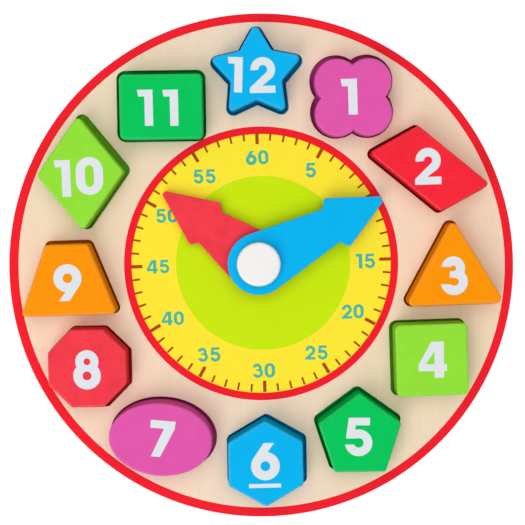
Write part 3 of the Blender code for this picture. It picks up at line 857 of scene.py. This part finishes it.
solids, holes = [], []
for text, (x, y, height, turn) in MINUTE_NUMBERS.items():
    own_solids, own_holes = number_outlines(
        text, height * MILLIMETRE, MINUTE_NUMBER_STROKE, (x * MILLIMETRE, y * MILLIMETRE), turn
    )
    solids += own_solids
    holes += own_holes
printed("minute_numbers_print", solids, holes, 1, inks["teal"])

# Blocks: twelve pieces of solid wood, each with its edges rounded over and sprayed all round. They
# stand loose in the board, on the backing, and each is lifted out by hand.

BLOCK_EDGE_ROUNDING = 0.0009

for node_name, outline, hue, ring_share, direction, turn, *_ in BLOCKS:
    bottom, top = heights_of(node_name)
    centre = block_centre(ring_share, direction)

    def side(grow, outline=outline, centre=centre, turn=turn):
        """Outline of this block where it stands."""
        return placed(outline(grow), centre, turn)

    rounding = BLOCK_EDGE_ROUNDING
    arc = edge_arc(rounding, top)
    block = make_piece(
        node_name.replace("block_", "painted_"),
        [
            (*flat([side(-rounding)], [], top), 0),
            (*swept(side, arc), 1),
            # The sides and underside take the side copy of the paint, darkened as painted shade.
            (*swept(side, [*edge_arc(rounding, bottom, upper=False), arc[0]]), 2),
            (*flat([side(-rounding)], [], bottom), 2),
        ],
        [paints[hue], edges[hue], sides[hue]],
        "_".join(node_name.split("_")[:2]),
    )
    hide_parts(node_name)

# Block numbers: white ink on the top of each block. The 6 is underlined, so that it isn't taken
# for a 9 when the block lies loose.

# Each figure: block, digit, place from the block's centre and height in millimetres, turn, stroke.
BLOCK_NUMBERS = [
    ("1", "1", (-1.79, 0.29), 15.2, 0.4, 0.216),
    ("2", "2", (-0.92, 1.01), 15.6, 0.6, 0.233),
    ("3", "3", (0.04, 0.15), 16.6, -2.3, 0.238),
    ("4", "4", (0.23, 0.19), 15.6, -0.6, 0.218),
    ("5", "5", (-0.95, 0.10), 16.6, -1.3, 0.224),
    ("6", "6", (-0.10, 1.09), 16.2, -0.9, 0.213),
    ("7", "7", (0.67, 0.41), 15.8, -6.2, 0.221),
    ("8", "8", (-0.04, -0.51), 17.0, -1.0, 0.215),
    ("9", "9", (0.04, -1.05), 15.8, -0.8, 0.213),
    ("10", "1", (-7.54, -1.88), 15.6, 0.9, 0.202),
    ("10", "0", (3.98, -1.09), 16.1, 0.9, 0.221),
    ("11", "1", (-6.70, -0.28), 15.3, -0.2, 0.195),
    ("11", "1", (4.08, -0.55), 15.3, -0.2, 0.195),
    ("12", "1", (-9.00, -0.80), 14.9, -2.8, 0.195),
    ("12", "2", (2.69, -1.20), 15.1, -0.7, 0.220),
]
UNDERLINE = (0.0138, 0.0017)
UNDERLINE_PLACE = (-0.0005, -0.00938)

for node_name, _, _, ring_share, direction, *_ in BLOCKS:
    number = node_name.split("_")[1]
    centre = block_centre(ring_share, direction)
    solids, holes = [], []
    for block_number, digit, place, height, turn, stroke in BLOCK_NUMBERS:
        if block_number == number:
            spot = centre + np.array(place) * MILLIMETRE
            own_solids, own_holes = number_outlines(
                digit, height * MILLIMETRE, stroke, spot, turn
            )
            solids += own_solids
            holes += own_holes
    if number == "6":
        solids.append(placed(box_corners(*UNDERLINE), centre + UNDERLINE_PLACE, 0.0))
    printed(
        "block_number_" + number, solids, holes, 0, inks["white"],
        "block_" + number, heights_of(node_name)[1],
    )

# Hands: flat arrows cut from thin plywood and sprayed, the red hour hand below and the longer
# blue minute hand above. Each has a round hub that is drilled for the bolt.

HUB_RADIUS = 0.0134
HUB_STEPS = 72
HAND_EDGE_ROUNDING = 0.0004
HAND_CORNER_STEPS = 6
HAND_ROUNDINGS = [0.0009, 0.0011, 0.0006]
# Each hand: node, paint, its turn, and its tip, barb and notch as distances along and across.
HANDS = [
    ("hour_hand", "light_red", 142.0, [(0.0512, 0.0010), (0.0288, 0.0113), (0.0262, 0.0083)]),
    ("minute_hand", "blue", 26.5, [(0.0597, 0.0013), (0.0382, 0.0118), (0.0351, 0.0080)]),
]


def hand_outline(upper, grow):
    """Arrow along +X: its upper corners, the hub's arc from tangent to tangent, and the mirror."""
    upper = np.array(upper)
    notch = upper[-1]
    leave = np.degrees(np.arctan2(notch[1], notch[0]))
    leave += np.degrees(np.arccos(HUB_RADIUS / np.hypot(*notch)))
    hub = on_circle(HUB_RADIUS, np.linspace(leave, 360.0 - leave, HUB_STEPS))
    corners = np.concatenate([upper, hub, upper[::-1] * (1.0, -1.0)])
    roundings = HAND_ROUNDINGS + [0.0] * HUB_STEPS + HAND_ROUNDINGS[::-1]
    outline = rounded(corners, roundings, grow, HAND_CORNER_STEPS)
    outline = outline.reshape(len(corners), HAND_CORNER_STEPS + 1, 2)
    first, last = outline[:3].reshape(-1, 2), outline[-3:].reshape(-1, 2)
    middle = outline[3:-3, HAND_CORNER_STEPS // 2]
    return np.concatenate([first, middle, last])


for hand_name, hue, turn, upper in HANDS:
    bottom, top = heights_of(hand_name)

    def edge(grow, upper=upper, turn=turn):
        """Outline of this hand as it points."""
        return placed(hand_outline(upper, grow), PIVOT, turn)

    rounding = HAND_EDGE_ROUNDING
    arc = edge_arc(rounding, top)
    hand = make_piece(
        hand_name + "_arrow",
        [
            (*flat([edge(-rounding)], [bore(0.0)], top), 0),
            (*swept(edge, arc), 1),
            # The sides, bore and underside take the side copy of the paint, darkened as painted
            # shade.
            (*swept(edge, [*edge_arc(rounding, bottom, upper=False), arc[0]]), 2),
            (*swept(bore, [(0.0, bottom), (0.0, top)]), 2),
            (*flat([edge(-rounding)], [bore(0.0)], bottom), 2),
        ],
        [paints[hue], edges[hue], sides[hue]],
        hand_name,
    )
    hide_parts(hand_name)

# Pivot: a zinc-plated countersunk bolt from the back, with nylon washers under each hand, and a
# steel washer and a thin nut on top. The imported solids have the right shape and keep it.

STEEL_BRIGHT = (196, 197, 200)
STEEL_DARK = (160, 161, 166)
NYLON_PALE = (230, 228, 220)
NYLON_DEEP = (218, 215, 204)


def make_plating():
    """Dull plated steel: fine cloudy spangle, brighter and darker by turns."""
    tree, given = new_group("zinc_plating", {"Bright": "Color", "Dark": "Color", "Dull": "Float"})
    place = node(tree, "ShaderNodeTexCoord").outputs["Object"]
    spangle = noise(tree, place, 600.0, detail=4.0, roughness=0.65)
    scratches = noise(tree, place, 3000.0)
    darker = spread(tree, spangle, low=0.35, high=0.65)
    color = mixed(tree, darker, given["Bright"], given["Dark"])
    roughness = sum_of(tree, "MULTIPLY_ADD", scratches, 0.2, given["Dull"])
    give(tree, Color=color, Roughness=roughness, Height=scratches)
    return tree


plating = make_plating()
steel = material_from(
    "zinc_plated_steel", plating, bump_strength=0.08, bump_depth=0.00003,
    Bright=linear(STEEL_BRIGHT), Dark=linear(STEEL_DARK), Dull=0.24,
)
steel.node_tree.nodes["Principled BSDF"].inputs["Metallic"].default_value = 1.0
nylon = material_from(
    "natural_nylon", plating, bump_strength=0.05, bump_depth=0.00003,
    Bright=linear(NYLON_PALE), Dark=linear(NYLON_DEEP), Dull=0.34,
)
for node_name, material in (
    ("pivot_bolt", steel), ("nut_washer", steel), ("lock_nut", steel),
    ("dial_washer", nylon), ("hand_washer", nylon),
):
    for material_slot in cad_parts[node_name].material_slots:
        material_slot.material = material

# Cap: a white plastic moulding with a smooth, barely crowned top and a round edge. Its skirt hides
# the nut and its boss is pressed over it.

CAP_RADIUS = 0.0094
CAP_WALL = 0.0014
CAP_EDGE_ROUNDING = 0.0012
CAP_CROWN = 0.0002
CAP_ROOF = 0.0014
CAP_BOSS_RADIUS = 0.0056
CAP_SOCKET_RADIUS = 0.0044
CAP_SHOULDER_STEPS = 12
CAP_CROWN_STEPS = 6
CAP_POLE = 0.00005
CAP_WHITE = (247, 245, 244)
CAP_SHADE = (241, 239, 238)

moulded = material_from(
    "white_moulding", coating, bump_strength=0.03, bump_depth=0.00003,
    Full=linear(CAP_WHITE), Thin=linear(CAP_SHADE), Dull=0.22,
)
cap_bottom, cap_top = heights_of("centre_cap")
roof_bottom = cap_top - CAP_ROOF
boss_bottom = heights_of("lock_nut")[0]
shoulder = edge_arc(CAP_EDGE_ROUNDING, cap_top - CAP_CROWN, steps=CAP_SHOULDER_STEPS)[::-1]
shoulder[:, 0] += CAP_RADIUS
crown_reach = np.linspace(0.0, 1.0, CAP_CROWN_STEPS + 1)[:-1]
crown = np.column_stack([
    CAP_POLE + crown_reach * (CAP_RADIUS - CAP_EDGE_ROUNDING - CAP_POLE),
    cap_top - CAP_CROWN * crown_reach ** 2,
])
cap_profile = [
    *crown,
    *shoulder,
    (CAP_RADIUS, cap_bottom),
    (CAP_RADIUS - CAP_WALL, cap_bottom),
    (CAP_RADIUS - CAP_WALL, roof_bottom),
    (CAP_BOSS_RADIUS, roof_bottom),
    (CAP_BOSS_RADIUS, boss_bottom),
    (CAP_SOCKET_RADIUS, boss_bottom),
    (CAP_SOCKET_RADIUS, roof_bottom),
    (CAP_POLE, roof_bottom),
]
cap_points, cap_faces = swept(lambda radius: circle(radius, PIVOT), cap_profile)
poles = np.arange(ROUND_STEPS)
cap_faces.append(poles[None])
cap_faces.append(poles[None] + len(cap_points) - ROUND_STEPS)
cap = make_piece("white_cap", [(cap_points, cap_faces, 0)], [moulded], "base")
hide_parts("centre_cap")

# Studio: a white floor that the camera sees as plain white but for a trace of shadow, and faint
# light from all round, which polished faces mirror as one bright wall at the lower left. A large
# soft lamp stands beyond the picture's foot, to the left, and a wider one hangs overhead.

FLOOR_HALF_SIZE = 3.0
FLOOR_HEIGHT = -0.0001
FLOOR_COLOR = (236, 236, 236)
FLOOR_ROUGHNESS = 0.9
WHITE = (1.0, 1.0, 1.0, 1.0)
FLOOR_GLOW = 1.04
FLOOR_GLOW_SHARE = 0.92
WORLD_STRENGTH = 0.30
MIRRORED_SHARE = 0.06
BRIGHT_WALL_DIRECTION = (-0.7, -0.7, 0.0)
BRIGHT_WALL_START = 0.15
BRIGHT_WALL_FULL = 0.6
LAMP_DISTANCE = 2.4
# Each lamp: name, direction and elevation, its width across, its share of the light, its gloss.
LAMPS = [
    ("foot_lamp", -125.0, 50.0, 1.7, 0.27, True),
    ("top_lamp", 90.0, 80.0, 3.2, 0.665, False),
]


def seen_directly(tree):
    """One for rays that come from the camera, a mirror or glass, otherwise zero."""
    rays = node(tree, "ShaderNodeLightPath").outputs
    mirrored = sum_of(tree, "MAXIMUM", rays["Is Glossy Ray"], rays["Is Transmission Ray"])
    return sum_of(tree, "MAXIMUM", rays["Is Camera Ray"], mirrored)


floor_mesh = bpy.data.meshes.new("floor")
floor_corners = box_corners(2.0 * FLOOR_HALF_SIZE, 2.0 * FLOOR_HALF_SIZE)
floor_points = np.column_stack([floor_corners, np.full(4, FLOOR_HEIGHT)])
floor_mesh.from_pydata(floor_points.tolist(), [], [(0, 1, 2, 3)])
floor = bpy.data.objects.new("floor", floor_mesh)
bpy.context.scene.collection.objects.link(floor)
floor_material = bpy.data.materials.new("white_floor")
floor_material.use_nodes = True
tree = floor_material.node_tree
shader = tree.nodes["Principled BSDF"]
shader.inputs["Base Color"].default_value = linear(FLOOR_COLOR)
shader.inputs["Roughness"].default_value = FLOOR_ROUGHNESS
glow = node(tree, "ShaderNodeEmission", {"Color": WHITE, "Strength": FLOOR_GLOW})
share = sum_of(tree, "MULTIPLY", seen_directly(tree), FLOOR_GLOW_SHARE)
both = node(tree, "ShaderNodeMixShader", {0: share, 1: shader.outputs[0], 2: glow.outputs[0]})
tree.links.new(both.outputs[0], tree.nodes["Material Output"].inputs["Surface"])
floor_mesh.materials.append(floor_material)

world = bpy.data.worlds.new("studio")
bpy.context.scene.world = world
world.use_nodes = True
tree = world.node_tree
outward = node(tree, "ShaderNodeTexCoord").outputs["Generated"]
directions = {0: outward, 1: BRIGHT_WALL_DIRECTION}
toward = node(tree, "ShaderNodeVectorMath", directions, operation="DOT_PRODUCT").outputs["Value"]
bright = spread(tree, toward, low=BRIGHT_WALL_START, high=BRIGHT_WALL_FULL)
mirrored = sum_of(tree, "MULTIPLY_ADD", bright, 1.0 - MIRRORED_SHARE, MIRRORED_SHARE)
camera_ray = node(tree, "ShaderNodeLightPath").outputs["Is Camera Ray"]
shown = sum_of(tree, "MAXIMUM", mirrored, camera_ray)
strength = node(tree, "ShaderNodeMix", {0: seen_directly(tree), 2: WORLD_STRENGTH, 3: shown})
tree.links.new(strength.outputs[0], tree.nodes["Background"].inputs["Strength"])
tree.nodes["Background"].inputs["Color"].default_value = WHITE

for name, direction, elevation, size, light_share, gloss in LAMPS:
    lamp_data = bpy.data.lights.new(name, "AREA")
    lamp_data.shape = "DISK"
    lamp_data.size = size
    facing = np.sin(np.radians(elevation))
    lamp_data.energy = light_share * np.pi**2 * LAMP_DISTANCE**2 / facing
    lamp = bpy.data.objects.new(name, lamp_data)
    bpy.context.scene.collection.objects.link(lamp)
    across = on_circle(np.cos(np.radians(elevation)), direction)
    lamp.location = LAMP_DISTANCE * Vector((*across, facing))
    lamp.rotation_euler = (-lamp.location).to_track_quat("-Z", "Y").to_euler()
    lamp.visible_glossy = gloss

# Camera: nearly straight above, leaning three degrees towards the 12, with the board filling the
# square picture.

CAMERA_DISTANCE = 0.600
CAMERA_LEAN = 3.0
CAMERA_ROLL = -1.4
PICTURE_WIDTH = 0.22905
SENSOR = 36.0
AIM = Vector((0.00061, 0.00215, 0.0093))

camera_data = bpy.data.cameras.new("camera")
camera_data.sensor_width = SENSOR
camera_data.lens = SENSOR * CAMERA_DISTANCE / PICTURE_WIDTH
camera = bpy.data.objects.new("camera", camera_data)
bpy.context.scene.collection.objects.link(camera)
lean = np.radians(CAMERA_LEAN)
back = Vector((0.0, np.sin(lean), np.cos(lean)))
right = Vector((1.0, 0.0, 0.0))
turned = Matrix((right, back.cross(right), back)).transposed().to_4x4()
turned @= Matrix.Rotation(np.radians(CAMERA_ROLL), 4, "Z")
turned.translation = AIM + CAMERA_DISTANCE * back
camera.matrix_world = turned
bpy.context.scene.camera = camera
bpy.context.scene.view_settings.view_transform = "Standard"
